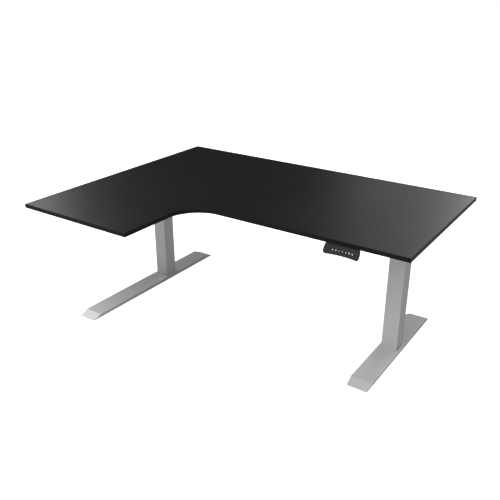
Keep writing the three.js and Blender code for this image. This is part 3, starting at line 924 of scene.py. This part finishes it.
@dataclass
class SquareTube:
    """A hollow rectangular tube with round corners and slightly eased ends."""

    wall: float
    corner: float
    ease: float = 0.3 * MM
    corner_steps: int = 10

    def rings(self, low: Vector, high: Vector, axis: Axis) -> list[list[Vector]]:
        """The rings of a tube that fills a box.

        Args:
            low: the box's lowest corner.
            high: the box's highest corner.
            axis: the direction that the tube runs in.

        Returns:
            Rings, out and back in.
        """
        along = axis.value
        across = [k for k in range(3) if k != along]
        size = [high[k] - low[k] for k in across]
        centre = [(high[k] + low[k]) / 2 for k in across]

        def ring(inset: float, place: float) -> list[Vector]:
            """Makes one ring.

            Args:
                inset: the distance from the outside.
                place: where the ring is along the tube.

            Returns:
                Its points.
            """
            outline = rounded_rectangle(
                size[0] - 2 * inset, size[1] - 2 * inset, self.corner - inset, self.corner_steps
            )
            points = []
            for a, b in outline:
                point = Vector((0.0, 0.0, 0.0))
                point[along] = place
                point[across[0]] = centre[0] + a
                point[across[1]] = centre[1] + b
                points.append(point)
            return points

        start, end, ease, wall = low[along], high[along], self.ease, self.wall
        outside = [(ease, start), (0.0, start + ease), (0.0, end - ease), (ease, end)]
        inside = [(wall - ease, end), (wall, end - ease), (wall, start + ease), (wall - ease, start)]
        return [ring(inset, place) for inset, place in outside + inside]

    def fill(self, node: str, axis: Axis) -> None:
        """Makes a tube in place of a frame node, and in the same box.

        Args:
            node: the frame's node.
            axis: the direction that the tube runs in.
        """
        low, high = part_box(node)
        stand_in(skin(self.rings(Vector(low), Vector(high), axis), looped=True), node)


@dataclass
class Glide:
    """A screw-in levelling glide: a ribbed pad with a steel stud.

    The rims are pairs in millimetres: how far in from the pad's side, and how far from its end.
    """

    pad_height: float = 5 * MM
    pad_radius: float = 16 * MM
    lower_rim: tuple[Point2, ...] = ((1.2, 0.0), (0.4, 0.25), (0.0, 0.9))
    upper_rim: tuple[Point2, ...] = ((0.0, 1.4), (0.5, 0.6), (1.6, 0.1), (2.4, 0.0))
    pad_flats: int = 56
    stud_radius: float = 4 * MM
    stud_gap: float = 1.5 * MM
    stud_foot_ease: float = 0.6 * MM
    stud_lead: float = 0.8 * MM
    stud_flats: int = 32
    ribs: int = 36
    rib_radius: float = 0.6 * MM
    rib_stand: float = 0.7 * MM
    rib_shortfall: float = 2.2 * MM
    rib_middle: float = 0.48

    def build(self, node: str) -> None:
        """Makes the pad, its grip ribs and the stud in place of a frame node.

        Args:
            node: the frame's glide node.
        """
        low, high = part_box(node)
        centre = centre_of(node)
        move = Matrix.Translation((centre.x, centre.y, low[2]))
        radius = self.pad_radius - self.rib_stand
        height = self.pad_height
        pad = lathe(
            [(radius - inset * MM, rise * MM) for inset, rise in self.lower_rim]
            + [(radius - inset * MM, height - drop * MM) for inset, drop in self.upper_rim]
            + [(self.stud_radius + self.stud_gap, height)],
            self.pad_flats,
        )
        pad.transform(move)
        body = BODY_OF[node]
        stand_in(pad, node, f"{node}_pad")
        stud_top = high[2] - low[2]
        clear = 0.05 * MM
        stud = lathe(
            [
                (self.stud_radius - self.stud_foot_ease, height + clear),
                (self.stud_radius, height + self.stud_foot_ease),
                (self.stud_radius, stud_top - self.stud_lead),
                (self.stud_radius - self.stud_lead, stud_top),
            ],
            self.stud_flats,
        )
        stud.transform(move)
        settle(stud, f"{node}_stud", body, "bright_steel")
        self.grip(node, body, move, radius)

    def grip(self, node: str, body: str, move: Matrix, radius: float) -> None:
        """Makes the ribs that a hand turns the pad by.

        Args:
            node: the frame's glide node.
            body: the body that the ribs ride on.
            move: from the glide's own axes to the frame's.
            radius: the pad's radius.
        """
        sizes = {"Rib Radius": self.rib_radius, "Rib Height": self.pad_height - self.rib_shortfall}
        repeater = Repeater(f"{node}_grip_tree", sizes)
        rib_radius, rib_height = (repeater.given[label] for label in sizes)
        rib = repeater.graph.add(
            "GeometryNodeMeshCylinder", {"Vertices": 8, "Radius": rib_radius, "Depth": rib_height}
        )
        repeater.spread(rib.outputs["Mesh"], FINISHES["black_rubber"].material())
        middle = self.pad_height * self.rib_middle
        placements = []
        for k in range(self.ribs):
            turn = 2 * math.pi * k / self.ribs
            spot = move @ Vector((radius * math.cos(turn), radius * math.sin(turn), middle))
            placements.append(Placement(tuple(spot), UPWARD))
        settle(repeater.bake(placements), f"{node}_grip", body, "black_rubber", smooth_degrees=60.0)


@dataclass(frozen=True)
class MotorCan:
    """The turned outline of a motor, from its neck at the gearbox to its end cap."""

    neck_radius: float = 15 * MM
    neck: float = 8 * MM
    cap_radius: float = 16 * MM
    cap: float = 5 * MM
    cap_top_radius: float = 15 * MM
    hub_radius: float = 5 * MM
    shoulder: float = 2 * MM
    shoulder_bulge: float = 0.6 * MM
    ease: float = 0.8 * MM
    grooves: tuple[float, ...] = (18 * MM, 22 * MM, 26 * MM)
    groove_depth: float = 0.7 * MM
    groove_width: float = 2 * MM
    groove_slope: float = 0.4 * MM
    flats: int = 64
    screws: int = 3
    first_screw: float = 0.25
    screw_inset: float = 2.7 * MM
    screw_share: float = 0.93

    def profile(self, radius: float, length: float) -> list[Point2]:
        """The outline for one size of motor.

        Args:
            radius: the can's radius.
            length: the length from the neck's end to the cap's end.

        Returns:
            Points of (radius, height).
        """
        floor = radius - self.groove_depth
        points = [
            (self.neck_radius, 0.0),
            (self.neck_radius, self.neck - self.ease),
            (radius - self.shoulder, self.neck),
            (radius, self.neck + self.shoulder),
        ]
        for place in self.grooves:
            start = self.neck + place
            end = start + self.groove_width
            points += [
                (radius, start),
                (floor, start + self.groove_slope),
                (floor, end - self.groove_slope),
                (radius, end),
            ]
        rim = length - self.cap
        return points + [
            (radius, rim - self.shoulder),
            (radius - self.shoulder_bulge, rim - self.ease),
            (radius - self.shoulder, rim),
            (self.cap_radius, rim),
            (self.cap_radius, length - self.ease),
            (self.cap_top_radius, length),
            (self.hub_radius, length),
        ]

    def screw_spots(self, radius: float) -> list[Point2]:
        """Where the screws are round the can's axis.

        Args:
            radius: the can's radius.

        Returns:
            Their (y, z) offsets from the axis.
        """
        circle = (radius - self.screw_inset) * self.screw_share
        turns = [2 * math.pi * (k + self.first_screw) / self.screws for k in range(self.screws)]
        return [(circle * math.cos(turn), circle * math.sin(turn)) for turn in turns]


@dataclass
class Column:
    """One foot with its three-stage lifting column, motor and gearbox."""

    side: Side
    fold_radius: float = 1.0 * MM
    least_fold: float = 9.0
    foot_sheet: float = 2.5 * MM
    bolt_reach: float = 22 * MM
    gearbox_ease: float = 1.5 * MM
    tube: SquareTube = field(default_factory=lambda: SquareTube(wall=1.5 * MM, corner=2.2 * MM))
    collar: SquareTube = field(
        default_factory=lambda: SquareTube(wall=2.3 * MM, corner=2.2 * MM, ease=0.5 * MM)
    )
    bolt: ScrewKind = ScrewKind(radius=6.5 * MM, height=4.4 * MM, socket=2.9 * MM)
    motor_screw: ScrewKind = ScrewKind(radius=2.6 * MM, height=1.6 * MM, socket=1.2 * MM)
    screw_lift: float = 0.02
    can: MotorCan = MotorCan()

    def node(self, part: str) -> str:
        """The frame's name for one of this column's parts."""
        return f"{self.side.value}_{part}"

    def foot(self) -> None:
        """Makes the folded foot, its glides and the bolts that hold the base plate."""
        carry(self.node("foot"), self.fold_radius, 4, wanted=upward_fold, least_degrees=self.least_fold)
        Glide().build(self.node("front_glide"))
        Glide().build(self.node("rear_glide"))
        plate = centre_of(self.node("base_plate"))
        _, foot_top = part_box(self.node("foot"))
        under = foot_top[2] - self.foot_sheet
        placements = [
            Placement((plate.x + x, plate.y + y, under), DOWNWARD)
            for x in (-self.bolt_reach, self.bolt_reach)
            for y in (-self.bolt_reach, self.bolt_reach)
        ]
        name = self.node("foot_bolts")
        self.bolt.scatter(name, "base", placements)

    def stages(self) -> None:
        """Makes the three tubes and their collars."""
        for stage in ("outer", "middle", "inner"):
            self.tube.fill(self.node(f"{stage}_tube"), Axis.Z)
        for stage in ("outer", "middle"):
            self.collar.fill(self.node(f"{stage}_collar"), Axis.Z)

    def head(self) -> None:
        """Makes the gearbox and the motor with its grooves and screws."""
        carry(self.node("gearbox"), self.gearbox_ease)
        node = self.node("motor")
        low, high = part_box(node)
        centre = centre_of(node)
        length = high[0] - low[0]
        radius = (high[2] - low[2]) / 2
        outward = 1.0 if self.side is Side.LEFT else -1.0
        start = low[0] if outward > 0 else high[0]
        shape = lathe(self.can.profile(radius, length), self.can.flats)
        shape.transform(
            Matrix.Translation((start, centre.y, centre.z))
            @ Matrix.Rotation(outward * math.pi / 2, 4, "Y")
        )
        stand_in(shape, node)
        lift = self.motor_screw.height * self.screw_lift
        face = start + outward * (length - self.can.cap + lift)
        placements = [
            Placement((face, centre.y + y, centre.z + z), (outward, 0.0, 0.0))
            for y, z in self.can.screw_spots(radius)
        ]
        name = self.node("motor_screws")
        self.motor_screw.scatter(name, "top", placements)

    def build(self) -> None:
        """Makes the whole column."""
        self.foot()
        self.stages()
        self.head()


# ---- Under-frame ----


@dataclass
class UnderFrame:
    """The brackets and rails under the board, with their screws."""

    bracket_ease: float = 0.8 * MM
    rail: SquareTube = field(default_factory=lambda: SquareTube(wall=2 * MM, corner=2.5 * MM))
    rails: tuple[tuple[str, Axis], ...] = (
        ("front_rail", Axis.X),
        ("rear_rail", Axis.X),
        ("wing_rail", Axis.Y),
    )
    screw: ScrewKind = ScrewKind(radius=5.2 * MM, height=2.4 * MM, socket=2.0 * MM)
    screw_margin: float = 28 * MM
    plate: float = 3 * MM
    screws_a_row: int = 4

    def bracket_screws(self, side: Side) -> Iterable[Placement]:
        """Where the screws sit inside a bracket, two rows along it, clear of the gearbox.

        Args:
            side: the bracket's side.

        Returns:
            The placements.
        """
        low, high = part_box(f"{side.value}_side_bracket")
        gear_low, gear_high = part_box(f"{side.value}_gearbox")
        height = high[2] - self.plate
        margin = self.screw_margin
        spans = [(low[1] + margin, gear_low[1] - margin), (gear_high[1] + margin, high[1] - margin)]
        for start, end in spans:
            for k in range(self.screws_a_row):
                y = start + (end - start) * k / (self.screws_a_row - 1)
                for x in (low[0] + margin, high[0] - margin):
                    yield Placement((x, y, height), DOWNWARD)

    def rail_screws(self, node: str, axis: Axis) -> Iterable[Placement]:
        """Where the screws sit under a rail.

        Args:
            node: the rail's node.
            axis: the direction that the rail runs in.

        Returns:
            The placements.
        """
        low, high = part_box(node)
        centre = centre_of(node)
        along = axis.value
        count = self.screws_a_row
        for k in range(count):
            spot = [centre.x, centre.y, low[2]]
            share = (k + 0.5) / count
            spot[along] = low[along] + (high[along] - low[along]) * share
            yield Placement(tuple(spot), DOWNWARD)

    def build(self) -> None:
        """Makes the brackets, the rails and every screw that holds them."""
        for side in Side:
            carry(f"{side.value}_side_bracket", self.bracket_ease, 2)
        for node, axis in self.rails:
            self.rail.fill(node, axis)
        placements = [spot for side in Side for spot in self.bracket_screws(side)]
        placements += [spot for node, axis in self.rails for spot in self.rail_screws(node, axis)]
        self.screw.scatter("frame_screws", "top", placements)


# ---- Electrics ----


@dataclass
class Electrics:
    """The control box, its inlet, the cables and their clips."""

    box_ease: float = 1.6 * MM
    inlet_ease: float = 0.4 * MM
    clip_ease: float = 0.5 * MM
    clips: int = 4
    ribs: int = 14
    rib_pitch: float = 7 * MM
    rib_width: float = 2 * MM
    rib_height: float = 0.9 * MM
    rib_share: float = 0.6
    rib_sink: float = 0.4

    def control_box(self) -> None:
        """Makes the box, the cooling ribs under it and the inlet."""
        carry("control_box", self.box_ease)
        carry("mains_inlet", self.inlet_ease)
        low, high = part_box("control_box")
        centre = centre_of("control_box")
        sizes = {
            "Rib Width": self.rib_width,
            "Rib Length": (high[1] - low[1]) * self.rib_share,
            "Rib Height": self.rib_height,
        }
        repeater = Repeater("cooling_rib_tree", sizes)
        x, y, z = (repeater.given[label] for label in sizes)
        size = repeater.graph.add("ShaderNodeCombineXYZ", {"X": x, "Y": y, "Z": z})
        bar = repeater.graph.add("GeometryNodeMeshCube", {"Size": size.outputs[0]})
        repeater.spread(bar.outputs["Mesh"], FINISHES["black_plastic"].material())
        first = centre.x - self.rib_pitch * (self.ribs - 1) / 2
        height = low[2] - self.rib_height * self.rib_sink
        placements = [
            Placement((first + k * self.rib_pitch, centre.y, height), UPWARD)
            for k in range(self.ribs)
        ]
        settle(repeater.bake(placements), "control_box_ribs", "top", "black_plastic")

    def cable(self, node: str) -> None:
        """Makes a rounder cable along a frame cable's own route.

        Args:
            node: the frame's cable node.
        """
        most_bend, most_skew = math.radians(50), math.radians(120)
        shape = carried_copy(node)
        bmesh.ops.join_triangles(
            shape,
            faces=shape.faces,
            angle_face_threshold=most_bend,
            angle_shape_threshold=most_skew,
        )
        bmesh.ops.subdivide_edges(
            shape, edges=shape.edges, cuts=1, smooth=1.0, use_grid_fill=True, use_only_quads=False
        )
        stand_in(shape, node, f"{node}_run", smooth_degrees=60.0)

    def build(self) -> None:
        """Makes every electric piece under the board."""
        self.control_box()
        for node in ("left_motor_cable", "right_motor_cable", "handset_cable"):
            self.cable(node)
        for index in range(self.clips):
            carry(f"cable_clip_{index + 1}", self.clip_ease, 2)


# ---- Handset ----


@dataclass
class Handset:
    """The sloping handset under the front edge, with its seven printed keys."""

    slope_degrees: float = 60.0
    gap: float = 0.3 * MM
    height: float = 41 * MM
    ink: float = 0.06 * MM
    sign_height: float = 5.6 * MM
    letter_size: float = 1.32
    boldness: float = 0.1 * MM
    ink_gap: float = 0.01 * MM
    housing_ease: float = 0.7 * MM
    panel_ease: float = 0.18 * MM
    key_ease: float = 0.22 * MM

    def face(self) -> Matrix:
        """Places the face's own axes: X across, Y up the slope, Z out of the face.

        Returns:
            From the face's axes to the frame's.
        """
        housing = centre_of("handset_housing")
        board_low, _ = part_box("desktop")
        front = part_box("edge_band")[1][1] - Worktop().main_depth
        return Matrix.Translation((housing.x, front, board_low[2] - self.gap)) @ Matrix.Rotation(
            math.radians(self.slope_degrees), 4, "X"
        )

    def strokes(self, sign: Sign) -> list[list[Point2]]:
        """The flat shapes of a sign, in units of its height, about its centre.

        Args:
            sign: which sign.

        Returns:
            Closed outlines, anticlockwise.
        """
        arrow = [(-0.76, -0.36), (-0.36, -0.36), (0.0, 0.0), (0.36, -0.36), (0.76, -0.36), (0.0, 0.44)]
        if sign is Sign.UP:
            return [arrow]
        if sign is Sign.DOWN:
            return [[(-x, -y) for x, y in arrow]]
        width, height, corner, drop = 0.78, 0.62, 0.1, 0.18
        body = [(x, y - drop) for x, y in rounded_rectangle(width, height, corner, 4)]
        steps = 10
        spring = height / 2 - drop
        turns = [math.pi * k / steps for k in range(steps + 1)]
        outer, inner = (0.28, 0.34), (0.16, 0.2)
        shackle = [(outer[0] * math.cos(t), spring + outer[1] * math.sin(t)) for t in turns]
        shackle += [(inner[0] * math.cos(t), spring + inner[1] * math.sin(t)) for t in reversed(turns)]
        return [body, shackle]

    def letter(self, text: str) -> Shape:
        """A bold numeral or letter as a flat solid in the face's axes, about its centre.

        Args:
            text: the numeral or letter.

        Returns:
            Its shape.
        """
        curve = bpy.data.curves.new(f"letter_{text}", "FONT")
        curve.body = text
        curve.size = self.sign_height * self.letter_size
        curve.extrude = self.ink / 2
        curve.offset = self.boldness
        curve.resolution_u = 6
        curve.align_x = "CENTER"
        curve.align_y = "CENTER"
        holder = bpy.data.objects.new("letter_holder", curve)
        shape = bmesh.new()
        shape.from_mesh(baked(holder))
        doubles = 0.001 * MM
        bmesh.ops.remove_doubles(shape, verts=shape.verts, dist=doubles)
        low = min(v.co.z for v in shape.verts)
        bmesh.ops.translate(shape, verts=shape.verts, vec=(0.0, 0.0, -low))
        return shape

    def flat_sign(self, sign: Sign) -> Shape:
        """A drawn sign as a flat solid in the face's axes, about its centre.

        Args:
            sign: which sign.

        Returns:
            Its shape.
        """
        shape = bmesh.new()
        for outline in self.strokes(sign):
            scaled = [(x * self.sign_height, y * self.sign_height) for x, y in outline]
            low = [shape.verts.new((x, y, 0.0)) for x, y in scaled]
            face = shape.faces.new(low)
            made = bmesh.ops.extrude_face_region(shape, geom=[face])
            raised = [v for v in made["geom"] if isinstance(v, bmesh.types.BMVert)]
            bmesh.ops.translate(shape, verts=raised, vec=(0.0, 0.0, self.ink))
        bmesh.ops.recalc_face_normals(shape, faces=shape.faces)
        return shape

    def print_sign(self, sign: Sign) -> None:
        """Prints a key's sign on its cap.

        Args:
            sign: which sign.
        """
        shape = self.letter(LETTERS[sign]) if sign in LETTERS else self.flat_sign(sign)
        face = self.face()
        key = face.inverted() @ centre_of(f"key_{sign.value}")
        shape.transform(face @ Matrix.Translation((key.x, -self.height / 2, self.ink_gap)))
        body = BODY_OF[f"key_{sign.value}"]
        settle(shape, f"sign_{sign.value}", body, "handset_keys", finish=PRINTED_WHITE)

    def build(self) -> None:
        """Makes the housing, the face, the keys and their signs."""
        carry("handset_housing", self.housing_ease)
        carry("handset_panel", self.panel_ease, 2)
        for sign in Sign:
            carry(f"key_{sign.value}", self.key_ease, 2)
            self.print_sign(sign)


# ---- Pieces that keep the frame's own shape ----


def dress_kept_nodes(kept: Sequence[str]) -> None:
    """Gives each frame node that stays visible its finish.

    Args:
        kept: the nodes' names.
    """
    for node in kept:
        mesh = frame["nodes"][node].data
        mesh.materials.clear()
        mesh.materials.append(FINISHES[SLOT_OF[node]].material())
        LOG.info("%s keeps its own shape in %s", node, SLOT_OF[node])


def inner_works() -> list[str]:
    """The pieces inside the columns and the handset, whose plain shapes are right as they are."""
    parts = ("base_plate", "base_screw", "middle_carrier", "spindle", "lift_nut", "drive_tube")
    return [f"{side.value}_{part}" for side in Side for part in parts] + ["handset_circuit_board"]


# ---- Studio ----


@dataclass(frozen=True)
class SoftBox:
    """A large soft light that faces a point from a direction.

    The azimuth is counted from the front (-Y) towards the right (+X), both angles in degrees.
    """

    name: str
    azimuth: float
    elevation: float
    radiance: float
    target: Point3 = (0.0, 0.1, 0.4)
    distance: float = 5.2
    width: float = 2.6
    height: float = 2.2

    def direction(self) -> Vector:
        """Turns the two angles into a direction.

        Returns:
            The unit vector from the target to the light.
        """
        turn = math.radians(self.azimuth)
        rise = math.radians(self.elevation)
        level = math.cos(rise)
        return Vector((level * math.sin(turn), -level * math.cos(turn), math.sin(rise)))

    def build(self) -> None:
        """Adds the light. Its power gives the same radiance whatever its size."""
        light = bpy.data.lights.new(self.name, "AREA")
        light.shape = "RECTANGLE"
        light.size = self.width
        light.size_y = self.height
        light.energy = self.radiance * math.pi * self.width * self.height
        holder = bpy.data.objects.new(self.name, light)
        holder.location = Vector(self.target) + self.direction() * self.distance
        holder.rotation_euler = self.direction().to_track_quat("Z", "Y").to_euler()
        holder.visible_camera = False
        bpy.context.scene.collection.objects.link(holder)


@dataclass
class Studio:
    """The white floor and backdrop, the soft lights and the camera."""

    floor_size: float = 60.0
    floor_glow: float = 0.02
    floor_glow_seen: float = 1.0
    floor_shade: float = 0.8
    floor_roughness: float = 0.9
    floor_specular: float = 0.1
    camera_place: Point3 = (1.4523, -2.1641, 1.5377)
    camera_aim: Point3 = (-0.51474, 0.75512, -0.40600)
    lens: float = 44.89
    sensor: float = 36.0
    sight: float = 200.0
    backdrop: float = 1.0
    ambient: float = 0.04
    reflected: float = 0.02

    def floor(self) -> None:
        """Makes a floor that the camera sees as white, though it lights the desk only faintly."""
        half = self.floor_size / 2
        mesh = bpy.data.meshes.new("floor")
        corners = [(-half, -half, 0), (half, -half, 0), (half, half, 0), (-half, half, 0)]
        mesh.from_pydata(corners, [], [(0, 1, 2, 3)])
        material = bpy.data.materials.new("floor_white")
        material.use_nodes = True
        material.node_tree.nodes.clear()
        graph = Graph(material.node_tree)
        seen = graph.add("ShaderNodeLightPath").outputs["Is Camera Ray"]
        glow = graph.add(
            "ShaderNodeMapRange",
            {"Value": seen, "To Min": self.floor_glow, "To Max": self.floor_glow_seen},
        )
        shader = graph.add(
            "ShaderNodeBsdfPrincipled",
            {
                "Base Color": (self.floor_shade, self.floor_shade, self.floor_shade, 1.0),
                "Roughness": self.floor_roughness,
                "Specular IOR Level": self.floor_specular,
                "Emission Color": WHITE,
                "Emission Strength": glow.outputs["Result"],
            },
        )
        graph.add("ShaderNodeOutputMaterial", {0: shader.outputs[0]})
        mesh.materials.append(material)
        floor = bpy.data.objects.new("floor", mesh)
        bpy.context.scene.collection.objects.link(floor)

    def surroundings(self) -> None:
        """Makes a backdrop that the camera sees as white, with little light and less shine."""
        world = bpy.data.worlds.new("studio")
        bpy.context.scene.world = world
        world.use_nodes = True
        world.node_tree.nodes.clear()
        graph = Graph(world.node_tree)
        path = graph.add("ShaderNodeLightPath")
        lit, shiny, seen = (
            graph.add("ShaderNodeBackground", {"Color": WHITE, "Strength": strength}).outputs[0]
            for strength in (self.ambient, self.reflected, self.backdrop)
        )
        mirrored = graph.add(
            "ShaderNodeMixShader", {0: path.outputs["Is Glossy Ray"], 1: lit, 2: shiny}
        )
        shown = graph.add(
            "ShaderNodeMixShader", {0: path.outputs["Is Camera Ray"], 1: mirrored.outputs[0], 2: seen}
        )
        graph.add("ShaderNodeOutputWorld", {0: shown.outputs[0]})

    def lights(self) -> None:
        """Adds broad keys in front of the desk, and boxes behind and left that its top mirrors."""
        for soft in (
            SoftBox("front_key", -8.0, 56.0, radiance=8.2),
            SoftBox("right_key", 60.0, 58.0, radiance=2.6),
            SoftBox("low_key", -2.0, 30.0, radiance=3.8),
            SoftBox("rear_box", 168.0, 26.0, radiance=3.6),
            SoftBox("right_rear_box", 186.0, 26.0, radiance=0.58),
            SoftBox("left_rear_box", 258.0, 26.0, radiance=2.05),
            SoftBox("left_box", 276.0, 26.0, radiance=3.6),
        ):
            soft.build()

    def camera(self) -> None:
        """Sets the camera."""
        data = bpy.data.cameras.new("camera")
        data.lens = self.lens
        data.sensor_width = self.sensor
        data.clip_end = self.sight
        holder = bpy.data.objects.new("camera", data)
        holder.location = self.camera_place
        holder.rotation_euler = Vector(self.camera_aim).to_track_quat("-Z", "Y").to_euler()
        bpy.context.scene.collection.objects.link(holder)
        bpy.context.scene.camera = holder

    def build(self) -> None:
        """Makes the whole studio."""
        self.floor()
        self.surroundings()
        self.lights()
        self.camera()
        bpy.context.scene.view_settings.view_transform = "Standard"


def write_sizes() -> None:
    """Brings the scene's placements up to date."""
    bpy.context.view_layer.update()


def main() -> None:
    """Builds the studio and then the desk, from the floor up."""
    logging.basicConfig(level=logging.INFO, format="%(message)s")
    Studio().build()
    for side in Side:
        Column(side).build()
    Worktop().build()
    UnderFrame().build()
    Electrics().build()
    Handset().build()
    dress_kept_nodes(inner_works())
    write_sizes()


if __name__ == "__main__":
    main()
